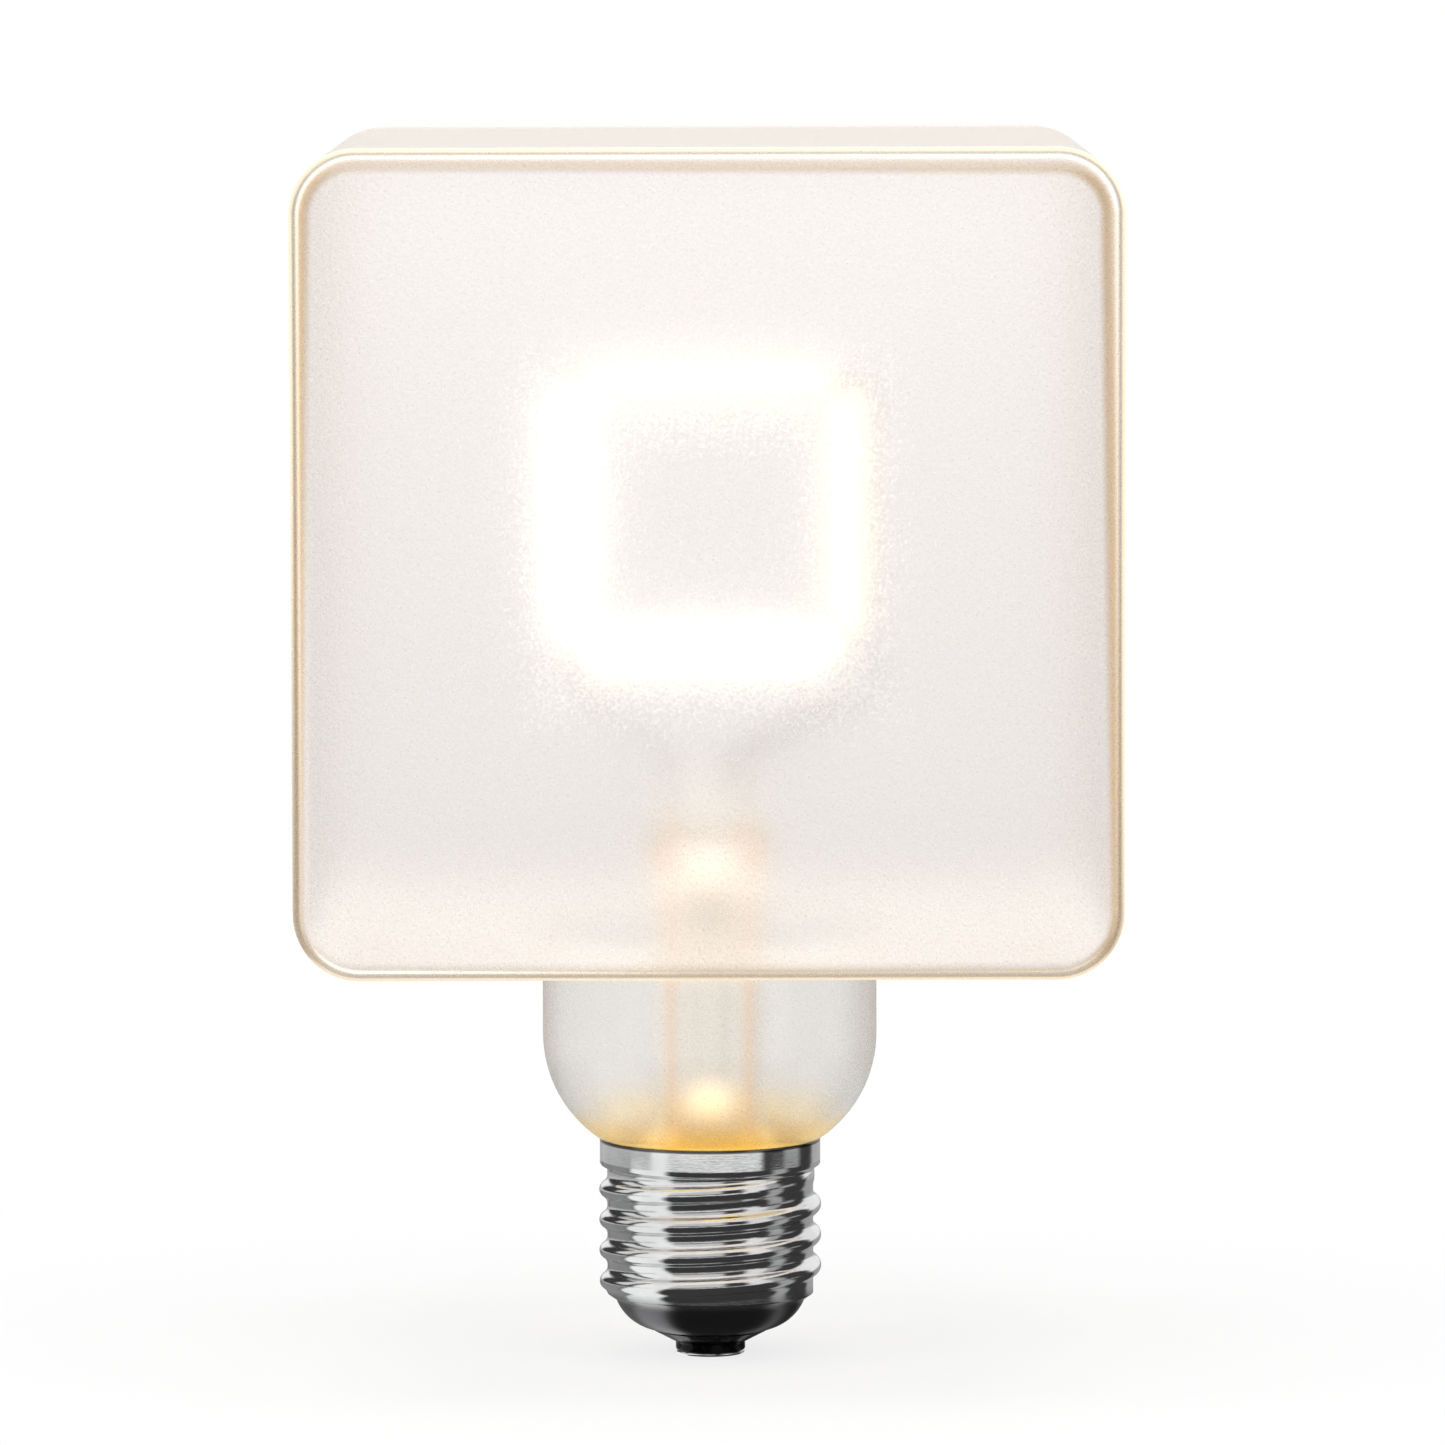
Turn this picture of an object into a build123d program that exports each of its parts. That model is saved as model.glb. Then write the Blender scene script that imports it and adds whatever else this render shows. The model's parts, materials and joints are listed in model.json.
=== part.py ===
from build123d import *
import math
import os

# A cube-shaped filament lamp with a 27 mm screw cap, in millimetres.
# It stands cap down: z 0 is the underside of the centre contact and +Z runs up the lamp's axis.
# X runs across the cube's front, which faces -Y.

# Glass envelope
cubeWidth = 94.0
cubeDepth = 94.0
cubeHeight = 94.0
cubeBottom = 49.5
cornerRadius = 7.6
rimRadius = 2.4
glassWall = 1.1
innerRimChamfer = 0.8
neckRadius = 19.65
neckChamfer = 1.6
bowlTop = 38.0
bowlOverhang = 1.2
bowlCones = 2
neckEndRadius = 12.1

# Screw shell: a right-hand knuckle thread rolled in thin sheet, with a smooth collar above it
threadCrestRadius = 13.1
threadRootRadius = 12.15
threadPitch = 3.629
threadRootFlat = 0.2
threadBite = 0.08
threadBase = 0.2
threadRightCrest = 6.8
threadFadeIn = (0.15, 0.55)
threadFadeOut = (3.6, 4.15)
threadFaded = 0.1
threadSteps = 30
threadShares = (-1, -0.67, -0.33, 0, 0.33, 0.67, 1)
sheetThickness = 0.3
collarRadius = 13.0
collarBottom = 22.55
collarStep = 0.5
shellTop = 25.7
footRadius = 7.0
footBottom = 3.0
footArcRadius = 5.55
footTopRadius = 11.15
footTop = 6.5
footCones = 2
rootBottom = 7.2
glassSeatGap = 0.15

# Black glass insulator and centre contact
bossRadius = 4.1
bossTop = 1.3
insulatorCones = 1
dishRadius = 6.0
dishFloor = 3.2
contactRadius = 4.0
contactThickness = 0.4
contactEdge = 0.15
eyeletRadius = 1.6
eyeletBore = 0.9
solderTop = 1.5
solderRecess = 0.05

# Stem
stemRadius = 6.75
stemWall = 1.1
flareAngles = (0, 45, 90)
pressBottom = 57.0
pressTop = 69.5
pressThickness = 4.4
pressBlend = 6.0
exhaustRadius = 2.5
exhaustWall = 0.6
exhaustTip = 18.0
exhaustTipRadius = 1.2
exhaustTaper = 2.4
tubeSeatDepth = 2.0
ventRadius = 1.5
ventRise = 4.8

# Filament square
squareHalfWidth = 16.2
squareHalfHeight = 15.8
squareCentre = 99.2
filamentWidth = 2.2
filamentThickness = 1.6
filamentCorner = 0.7
filamentEndGap = 1.9
tabWidth = 1.2
tabThickness = 0.3
tabClearance = 0.1
linkThickness = 0.3
linkClearance = 0.15

# Wires of the mount
leadRadius = 0.4
leadSpacing = 4.6
weldRise = 6.5
wireRise = 1.6
spreadReach = 1.6
spreadDrop = 5.4
weldLap = 1.2
weldGap = 0.02
supportSpacing = 2.2
supportDepth = 3.5
tallLeadStandoff = 3.2

# Driver
boardWidth = 16.0
boardThickness = 1.0
boardFront = 3.6
boardTop = 20.0
seatGap = 0.15
solderGap = 0.05
partClearance = 0.8
capacitorRadius = 4.0
capacitorLength = 10.5
capacitorX = -3.7
chokeRadius = 3.0
chokeLength = 7.0
chokeX = 4.4
resistorRadius = 1.2
resistorLength = 6.5
resistorX = 5.0
rectifierSize = (4.7, 1.5, 3.9)
rectifierPlace = (-4.2, 9.0)
chipSize = (4.9, 1.5, 3.9)
chipPlace = (-2.6, 15.5)
senseSize = (2.0, 0.5, 1.25)
sensePlaces = (("left", 2.8, 16.6), ("right", 5.4, 16.6))
hookupRadius = 0.35
contactWireX = 0.85
shellWireX = 7.2
shellWireLap = 2.0
outerLeadLap = 3.0
cementGap = 0.25

# Sizes that follow from the ones above
neckTop = cubeBottom + glassWall
neckInner = neckEndRadius - glassWall
neckSeat = shellTop + glassSeatGap
bowlFoot = (neckEndRadius + bowlOverhang, neckSeat)
bowlRadius = ((neckRadius - bowlFoot[0]) ** 2 + (bowlTop - neckSeat) ** 2) / (2 * (neckRadius - bowlFoot[0]))
bowlCentre = (neckRadius - bowlRadius, bowlTop)
neckEndBottom = collarBottom + sheetThickness
collarInner = collarRadius - sheetThickness
boreRadius = threadRootRadius - sheetThickness
threadCore = threadRootRadius - threadBase
threadTop = collarBottom - collarStep + sheetThickness / 2
flareRadius = neckInner - stemRadius
flareCentre = (neckInner, neckEndBottom + flareRadius + stemWall)
stemCeiling = pressBottom + tubeSeatDepth
ventHeight = pressBottom + ventRise
weldHeight = pressBottom + weldRise
supportFoot = pressTop - supportDepth
tabLength = filamentEndGap - tabWidth / 2 - tabClearance
linkPlane = tabThickness / 2
wirePlane = linkPlane + linkThickness + weldGap + leadRadius
boardBack = boardFront + boardThickness


def heightOnCircle(centre, radius, across, side):
    """Height at which a circle in the XZ plane reaches a distance from the axis."""
    return centre[1] + side * math.sqrt(radius**2 - (across - centre[0]) ** 2)


def circleCentre(start, end, radius):
    """Centre of the circle through two points, on the side of the lamp's axis."""
    middle = ((start[0] + end[0]) / 2, (start[1] + end[1]) / 2)
    across = (end[0] - start[0], end[1] - start[1])
    length = math.hypot(*across)
    back = math.sqrt(radius**2 - (length / 2) ** 2)
    return (middle[0] - across[1] / length * back, middle[1] + across[0] / length * back)


def inward(point, centre, distance):
    """A point moved towards a centre."""
    gap = math.hypot(centre[0] - point[0], centre[1] - point[1])
    share = distance / gap
    return (point[0] + (centre[0] - point[0]) * share, point[1] + (centre[1] - point[1]) * share)


def arcMiddle(start, end, centre):
    """Point on an arc about a centre, half way between its ends."""
    radius = math.hypot(start[0] - centre[0], start[1] - centre[1])
    middle = ((start[0] + end[0]) / 2, (start[1] + end[1]) / 2)
    return inward(centre, middle, radius)


def arcPoints(start, end, centre, count):
    """Points along an arc, from one end to the other, that share it in equal chords."""
    radius = math.hypot(start[0] - centre[0], start[1] - centre[1])
    first = math.atan2(start[1] - centre[1], start[0] - centre[0])
    last = math.atan2(end[1] - centre[1], end[0] - centre[0])
    angles = [first + (last - first) * step / count for step in range(count + 1)]
    return [(centre[0] + radius * math.cos(a), centre[1] + radius * math.sin(a)) for a in angles]


def lathe(lines):
    """Turn a closed outline in the XZ plane about the lamp's axis."""
    return revolve(Plane.XZ * make_face(lines), Axis.Z)


def chain(*points):
    """Straight lines from point to point."""
    return [Line(a, b) for a, b in zip(points, points[1:])]


def rod(radius, bottom, top, x=0.0, y=0.0):
    """Upright round bar."""
    return Pos(x, y, bottom) * Cylinder(radius, top - bottom, align=(Align.CENTER, Align.CENTER, Align.MIN))


def tube(inner, outer, bottom, top):
    return rod(outer, bottom, top) - rod(inner, bottom, top)


def block(size, centre):
    return Pos(*centre) * Box(*size)


def bentWire(points, radius):
    """Round wire along straight runs with sharp bends."""
    path = Polyline(*points)
    section = Plane(origin=path @ 0, z_dir=path % 0) * Circle(radius)
    return sweep(section, path=path, transition=Transition.RIGHT)


def cubeBlock(inset):
    """The cube, set in by a wall, with the large corners round its outline."""
    size = [length - 2 * inset for length in (cubeWidth, cubeDepth, cubeHeight)]
    cube = Pos(0, 0, cubeBottom + cubeHeight / 2) * Box(*size)
    return fillet(cube.edges().filter_by(Axis.Y), cornerRadius - inset)


def cubeRims(cube):
    """Edges round the front and the back."""
    return cube.faces().filter_by(Plane.XZ).edges()


def outerNeck():
    """Neck, its bowl, and the short end that sits in the shell's collar."""
    shoulder = (neckRadius, bowlTop)
    lines = chain(shoulder, (neckRadius, neckTop), (0, neckTop), (0, neckEndBottom))
    lines += chain((0, neckEndBottom), (neckEndRadius, neckEndBottom), (neckEndRadius, neckSeat), bowlFoot)
    return lathe(lines + [ThreePointArc(bowlFoot, arcMiddle(bowlFoot, shoulder, bowlCentre), shoulder)])


def innerNeck():
    """Hollow of the neck, with its bowl turned as short cones."""
    inner = bowlRadius - glassWall
    foot = (neckInner, heightOnCircle(bowlCentre, inner, neckInner, -1))
    shoulder = (neckRadius - glassWall, bowlTop)
    bowl = arcPoints(foot, shoulder, bowlCentre, bowlCones)
    return lathe(
        chain(
            (0, neckEndBottom),
            (neckInner, neckEndBottom),
            *bowl,
            (neckRadius - glassWall, neckTop + glassWall),
            (0, neckTop + glassWall),
            (0, neckEndBottom),
        )
    )


def glassEnvelope():
    """Cube and neck blown in one piece: rounded outside, plainer in its hollow."""
    cube = cubeBlock(0)
    body = fillet(cubeRims(cube), rimRadius) + outerNeck()
    joint = [
        edge
        for edge in body.edges().filter_by(GeomType.CIRCLE)
        if abs(edge.radius - neckRadius) < 0.01 and abs(edge.center().Z - cubeBottom) < 0.01
    ]
    hollow = cubeBlock(glassWall)
    hollow = chamfer(cubeRims(hollow), innerRimChamfer) + innerNeck()
    return chamfer(joint, neckChamfer) - hollow


def footCentre():
    return circleCentre((footRadius, footBottom), (footTopRadius, footTop), footArcRadius)


def footPoints(inset):
    """Section of the turned-in foot, from its lower edge up, as the ends of short cones."""
    centre = footCentre()
    points = arcPoints((footRadius, footBottom), (footTopRadius, footTop), centre, footCones)
    if not inset:
        return points
    return [inward(point, centre, inset) for point in points]


def shellSheet():
    """The shell without its thread: a turned sheet, which is thinnest where the threaded wall lies on it."""
    outside = footPoints(0)
    inside = footPoints(sheetThickness)
    half = sheetThickness / 2
    return lathe(
        chain(
            *outside,
            (threadCore, rootBottom),
            (threadCore, collarBottom - collarStep),
            (collarRadius, collarBottom),
            (collarRadius, shellTop),
            (collarInner, shellTop),
            (collarInner, collarBottom + half),
            (boreRadius, collarBottom - collarStep + half),
            (boreRadius, rootBottom + half),
            *reversed(inside),
            outside[0],
        )
    )


def threadSection(share):
    """One knuckle of the thread: a crest arc between two root arcs, at a share of its height."""
    root = threadRootRadius - threadBite
    base = threadCore
    depth = threadCrestRadius - root
    half = (threadPitch - threadRootFlat) / 2
    radius = (depth**2 + half**2) / (4 * depth)
    points = [(base, -half)]
    for part in threadShares:
        z = abs(part) * half
        if z < half / 2:
            reach = threadCrestRadius - radius + math.sqrt(radius**2 - z**2)
        else:
            reach = root + radius - math.sqrt(radius**2 - (half - z) ** 2)
        points.append((base + (reach - base) * share, part * half))
    points.append((base, half))
    return make_face(Polyline(*points, close=True))


def threadHeight(turn):
    """Share of the full height: the thread rises out of the foot and sinks under the collar."""
    rising = (turn - threadFadeIn[0]) / (threadFadeIn[1] - threadFadeIn[0])
    sinking = (threadFadeOut[1] - turn) / (threadFadeOut[1] - threadFadeOut[0])
    return max(threadFaded, min(1, rising, sinking))


def threadRidge():
    """The rolled thread: knuckle sections set round the right-hand helix and joined by straight rulings."""
    first = round(threadFadeIn[0] * threadSteps)
    last = round(threadFadeOut[1] * threadSteps)
    sections = []
    for step in range(first, last + 1):
        turn = step / threadSteps
        place = Pos(0, 0, threadRightCrest + threadPitch * turn) * Rot(0, 0, 360 * turn)
        sections.append(place * (Plane.XZ * threadSection(threadHeight(turn))))
    ridge = loft(sections, ruled=True)
    return ridge & rod(threadCrestRadius + sheetThickness, rootBottom, threadTop)


def threadWall():
    """Straight wall between the turns, with one flat side to each step of the thread."""
    outside = extrude(RegularPolygon(threadRootRadius, threadSteps), threadTop - rootBottom)
    return Pos(0, 0, rootBottom) * outside - rod((boreRadius + threadCore) / 2, rootBottom, threadTop)


def screwShell():
    return shellSheet() + threadWall() + threadRidge()


def insulator():
    """Black glass filling of the foot: a cone with a boss outside and a dish inside."""
    outside = footPoints(0)
    inside = footPoints(sheetThickness)
    return lathe(
        chain(
            *inside[: insulatorCones + 1],
            (dishRadius, dishFloor),
            (eyeletRadius, dishFloor),
            (eyeletRadius, contactThickness),
            (bossRadius, contactThickness),
            (bossRadius, bossTop),
            outside[0],
            inside[0],
        )
    )


def centreContact():
    """Flat disc with a hollow eyelet that runs up through the insulator."""
    disc = rod(contactRadius, 0, contactThickness)
    disc = chamfer(disc.edges().group_by(Axis.Z)[0], contactEdge)
    return disc + rod(eyeletRadius, contactThickness, dishFloor) - rod(eyeletBore, 0, dishFloor)


def pressedBar():
    """Solid outside form of the stem's tube and of its top, which is squeezed flat."""
    bar = rod(stemRadius, flareCentre[1], pressTop)
    half = pressThickness / 2
    outline = Polyline(
        (-stemRadius, flareCentre[1]),
        (stemRadius, flareCentre[1]),
        (stemRadius, pressBottom),
        (half, pressBottom + pressBlend),
        (half, pressTop),
        (-half, pressTop),
        (-half, pressBottom + pressBlend),
        (-stemRadius, pressBottom),
        close=True,
    )
    wedge = extrude(Plane.YZ * make_face(outline), amount=stemRadius, both=True)
    return bar & wedge


def flaredFoot(radius, floor):
    """Solid under a flare of a given radius about the flare's centre, turned as short cones."""
    across, height = flareCentre
    flare = [
        (across - radius * math.cos(math.radians(angle)), height - radius * math.sin(math.radians(angle)))
        for angle in flareAngles
    ]
    return lathe(chain(*flare, (across, floor), (0, floor), (0, height), flare[0]))


def glassStem():
    """Flare, tube and press, with a vent from the exhaust tube out of the press's front."""
    inner = stemRadius - stemWall
    below = neckEndBottom - stemWall
    solid = flaredFoot(flareRadius, neckEndBottom) + pressedBar()
    hollow = flaredFoot(flareRadius + stemWall, below) + rod(inner, flareCentre[1], pressBottom)
    hollow = hollow + rod(exhaustRadius, pressBottom, stemCeiling)
    solid = solid - hollow
    vent = rod(ventRadius, stemCeiling, ventHeight + ventRadius)
    outlet = Pos(0, -stemRadius / 2, ventHeight) * Rot(90, 0, 0) * Cylinder(ventRadius, stemRadius)
    solid = solid - vent - outlet
    for x in (-leadSpacing, leadSpacing):
        solid = solid - rod(leadRadius, pressBottom, pressTop, x)
    return solid - rod(leadRadius, supportFoot, pressTop, supportSpacing)


def exhaustTube():
    """Narrow tube sealed off in a tapered tip inside the cap."""
    bore = exhaustRadius - exhaustWall
    taper = exhaustTip + exhaustTaper
    return lathe(
        chain(
            (0, exhaustTip),
            (exhaustTipRadius, exhaustTip),
            (exhaustRadius, taper),
            (exhaustRadius, stemCeiling),
            (bore, stemCeiling),
            (bore, taper + exhaustWall),
            (0, exhaustTip + exhaustTaper / 2),
            (0, exhaustTip),
        )
    )


def filamentBar(length):
    """Coated filament along X, centred, with rounded long edges."""
    section = Plane.YZ * RectangleRounded(filamentThickness, filamentWidth, filamentCorner)
    return extrude(section, amount=length / 2, both=True)


def filamentSides():
    """Name, centre height, centre X, turn about Y and length of each side of the square."""
    across = 2 * (squareHalfWidth - filamentEndGap)
    upright = 2 * (squareHalfHeight - filamentEndGap)
    return (
        ("bottom", 0.0, squareCentre - squareHalfHeight, 0, across, ("left", "right")),
        ("top", 0.0, squareCentre + squareHalfHeight, 0, across, ("left", "right")),
        ("left", -squareHalfWidth, squareCentre, -90, upright, ("lower", "upper")),
        ("right", squareHalfWidth, squareCentre, -90, upright, ("lower", "upper")),
    )


def filaments():
    """Four lit sides and a metal tab on each end of each."""
    pieces = {}
    for side, x, z, turn, length, ends in filamentSides():
        place = Pos(x, 0, z) * Rot(0, turn, 0)
        pieces["filament_" + side] = place * filamentBar(length)
        for end, sign in zip(ends, (-1, 1)):
            tab = block((tabLength, tabThickness, tabWidth), (sign * (length + tabLength) / 2, 0, 0))
            pieces["filament_tab_" + side + "_" + end] = place * tab
    return pieces


def cornerLinks():
    """Flat angle pieces behind the tabs, which join the four sides."""
    pieces = {}
    arm = filamentEndGap - linkClearance + tabWidth / 2
    y = linkPlane + linkThickness / 2
    for row, up in (("lower", -1), ("upper", 1)):
        for column, out in (("left", -1), ("right", 1)):
            x = out * (squareHalfWidth + tabWidth / 2)
            z = squareCentre + up * (squareHalfHeight + tabWidth / 2)
            flat = block((arm, linkThickness, tabWidth), (x - out * arm / 2, y, z - up * tabWidth / 2))
            upright = block((tabWidth, linkThickness, arm), (x - out * tabWidth / 2, y, z - up * arm / 2))
            pieces["corner_link_" + row + "_" + column] = flat + upright
    return pieces


def spreadWire(side, spacing, foot):
    """Wire from the press that opens out to a lower corner of the square."""
    corner = squareCentre - squareHalfHeight
    points = (
        (side * spacing, 0, foot),
        (side * spacing, 0, pressTop + wireRise),
        (side * (squareHalfWidth - spreadReach), wirePlane, corner - spreadDrop),
        (side * squareHalfWidth, wirePlane, corner + weldLap),
    )
    return bentWire(points, leadRadius)


def tallLead():
    """Lead that runs up outside the right filament and turns in to the upper right corner."""
    corner = squareCentre + squareHalfHeight
    out = squareHalfWidth + tallLeadStandoff
    points = (
        (leadSpacing, 0, weldHeight),
        (leadSpacing, 0, pressTop + wireRise),
        (out, wirePlane, squareCentre - squareHalfHeight - spreadDrop),
        (out, wirePlane, corner),
        (squareHalfWidth - weldLap, wirePlane, corner),
    )
    return bentWire(points, leadRadius)


def outerLead(side):
    """Copper lead from the press down the stem to the front of the driver board."""
    onBoard = boardFront - weldGap - leadRadius
    points = (
        (side * leadSpacing, 0, weldHeight),
        (side * leadSpacing, 0, boardTop + onBoard),
        (side * leadSpacing, onBoard, boardTop),
        (side * leadSpacing, onBoard, boardTop - outerLeadLap),
    )
    return bentWire(points, leadRadius)


def boardFoot():
    """Height at which the board's lower corners rest on the insulator's dish."""
    rim, height = footPoints(sheetThickness)[insulatorCones]
    slope = (height - dishFloor) / (rim - dishRadius)
    corner = math.hypot(boardWidth / 2, boardBack)
    return dishFloor + (corner - dishRadius) * slope + seatGap


def driver():
    """Board with its parts: the tall ones in front, the flat ones on the back."""
    foot = boardFoot()
    tallFoot = foot + partClearance
    pieces = {}
    pieces["driver_board"] = block(
        (boardWidth, boardThickness, boardTop - foot),
        (0, boardFront + boardThickness / 2, (boardTop + foot) / 2),
    )
    y = boardFront - solderGap - capacitorRadius
    pieces["electrolytic_capacitor"] = rod(capacitorRadius, tallFoot, tallFoot + capacitorLength, capacitorX, y)
    y = boardFront - solderGap - chokeRadius
    pieces["choke"] = rod(chokeRadius, tallFoot, tallFoot + chokeLength, chokeX, y)
    y = boardBack + solderGap + resistorRadius
    pieces["fusible_resistor"] = rod(resistorRadius, tallFoot, tallFoot + resistorLength, resistorX, y)
    flat = [("bridge_rectifier", rectifierSize, rectifierPlace), ("driver_chip", chipSize, chipPlace)]
    flat += [("sense_resistor_" + name, senseSize, (x, z)) for name, x, z in sensePlaces]
    for name, size, (x, z) in flat:
        pieces[name] = block(size, (x, boardBack + solderGap + size[1] / 2, z))
    return pieces


def contactWire():
    """From the board's foot down into the contact's eyelet."""
    y = boardFront - weldGap - hookupRadius
    foot = boardFoot()
    turnIn = (foot + dishFloor) / 2
    points = (
        (contactWireX, y, foot + 3 * partClearance),
        (contactWireX, y, foot + partClearance / 2),
        (0, 0, turnIn),
        (0, 0, solderTop),
    )
    return bentWire(points, hookupRadius)


def shellWire():
    """From the board's edge to the inside of the shell, and up along its wall."""
    y = boardFront - weldGap - hookupRadius
    reach = boreRadius - weldGap - hookupRadius
    x = math.sqrt(reach**2 - y**2)
    top = collarBottom - collarStep - seatGap
    points = (
        (shellWireX, y, top - 3 * shellWireLap),
        (shellWireX, y, top - 1.5 * shellWireLap),
        (x, y, top - shellWireLap),
        (x, y, top),
    )
    return bentWire(points, hookupRadius)


def lampPieces():
    pieces = {
        "glass_envelope": glassEnvelope(),
        "glass_stem": glassStem(),
        "exhaust_tube": exhaustTube(),
        "lead_wire_left": spreadWire(-1, leadSpacing, weldHeight),
        "lead_wire_right": tallLead(),
        "support_wire": spreadWire(1, supportSpacing, supportFoot),
        "outer_lead_left": outerLead(-1),
        "outer_lead_right": outerLead(1),
        "screw_shell": screwShell(),
        "insulator": insulator(),
        "centre_contact": centreContact(),
        "contact_solder": rod(eyeletBore, solderRecess, solderTop),
        "basing_cement": tube(neckEndRadius, collarInner, collarBottom + cementGap, shellTop - cementGap),
        "contact_wire": contactWire(),
        "shell_wire": shellWire(),
    }
    pieces.update(filaments())
    pieces.update(cornerLinks())
    pieces.update(driver())
    return pieces


os.makedirs("parts", exist_ok=True)
for name, solid in lampPieces().items():
    solid.label = name
    export_step(solid, os.path.join("parts", name + ".step"))
    print(name, round(solid.volume, 2))
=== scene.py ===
import json
import math
import bpy
import bmesh
from mathutils import Matrix, Vector


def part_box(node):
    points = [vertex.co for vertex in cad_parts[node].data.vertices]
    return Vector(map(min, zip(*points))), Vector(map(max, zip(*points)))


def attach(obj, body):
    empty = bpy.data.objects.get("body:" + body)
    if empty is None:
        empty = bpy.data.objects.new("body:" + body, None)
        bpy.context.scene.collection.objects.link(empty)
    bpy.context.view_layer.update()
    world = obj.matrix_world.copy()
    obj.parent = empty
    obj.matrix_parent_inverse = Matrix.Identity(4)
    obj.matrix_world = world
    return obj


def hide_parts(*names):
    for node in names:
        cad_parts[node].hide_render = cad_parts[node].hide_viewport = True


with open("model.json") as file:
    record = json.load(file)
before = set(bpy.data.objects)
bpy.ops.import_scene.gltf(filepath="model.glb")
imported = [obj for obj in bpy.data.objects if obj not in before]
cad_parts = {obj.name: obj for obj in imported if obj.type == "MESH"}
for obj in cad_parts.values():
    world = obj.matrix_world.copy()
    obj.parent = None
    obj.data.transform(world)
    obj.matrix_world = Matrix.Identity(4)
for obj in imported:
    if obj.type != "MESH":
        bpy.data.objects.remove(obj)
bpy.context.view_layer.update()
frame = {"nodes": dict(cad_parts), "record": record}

mm = 0.001               # shapes are in millimetres; finishes and studio are in metres, as the frame is
white = (1, 1, 1, 1)


def sizeOf(node):
    # lowest and highest corner of a CAD node, in millimetres
    low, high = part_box(node)
    return low / mm, high / mm


# The camera stands where the photograph was taken from, a little above and dead in front

camera = {
    "distance": 1106.58,      # from the middle of the cube, in millimetres
    "elevation": 4.0687,      # degrees, as are yaw and roll
    "yaw": 0.0979,
    "roll": -0.1439,
    "aimX": 1.5969,
    "aimZ": 74.7019,
    "focalLength": 234.99,
    "sensorWidth": 36.0,
}


def placeCamera():
    low, high = sizeOf("glass_envelope")
    middle = Vector((0, 0, high.z - (high.x - low.x) / 2))
    lift = math.radians(camera["elevation"])
    side = math.radians(camera["yaw"])
    away = Vector((math.sin(side) * math.cos(lift), -math.cos(side) * math.cos(lift), math.sin(lift)))
    place = middle + away * camera["distance"]
    sight = Vector((camera["aimX"], 0, camera["aimZ"])) - place
    turn = sight.to_track_quat("-Z", "Y").to_matrix().to_4x4()
    roll = Matrix.Rotation(math.radians(camera["roll"]), 4, "Z")
    lens = bpy.data.cameras.new("photoCamera")
    lens.lens = camera["focalLength"]
    lens.sensor_width = camera["sensorWidth"]
    view = bpy.data.objects.new("photoCamera", lens)
    view.matrix_world = Matrix.Translation(place * mm) @ turn @ roll
    bpy.context.scene.collection.objects.link(view)
    bpy.context.scene.camera = view
    bpy.context.scene.view_settings.view_transform = "Standard"
    print("camera placed")


# Shader maths: a Value wraps a socket, so that sums and products of values write their own nodes

class Value:
    def __init__(self, maker, socket):
        self.maker = maker
        self.socket = socket

    def math(self, operation, other=0.0, swapped=False):
        first, second = (other, self) if swapped else (self, other)
        return self.maker.node("ShaderNodeMath", {"operation": operation}, {0: first, 1: second})

    def __add__(self, other):
        return self.math("ADD", other)

    def __sub__(self, other):
        return self.math("SUBTRACT", other)

    def __rsub__(self, other):
        return self.math("SUBTRACT", other, swapped=True)

    def __mul__(self, other):
        return self.math("MULTIPLY", other)

    __radd__ = __add__
    __rmul__ = __mul__

    def atLeast(self, other):
        return self.math("MAXIMUM", other)

    def root(self):
        return self.math("SQRT")

    def size(self):
        return self.math("ABSOLUTE")


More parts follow.
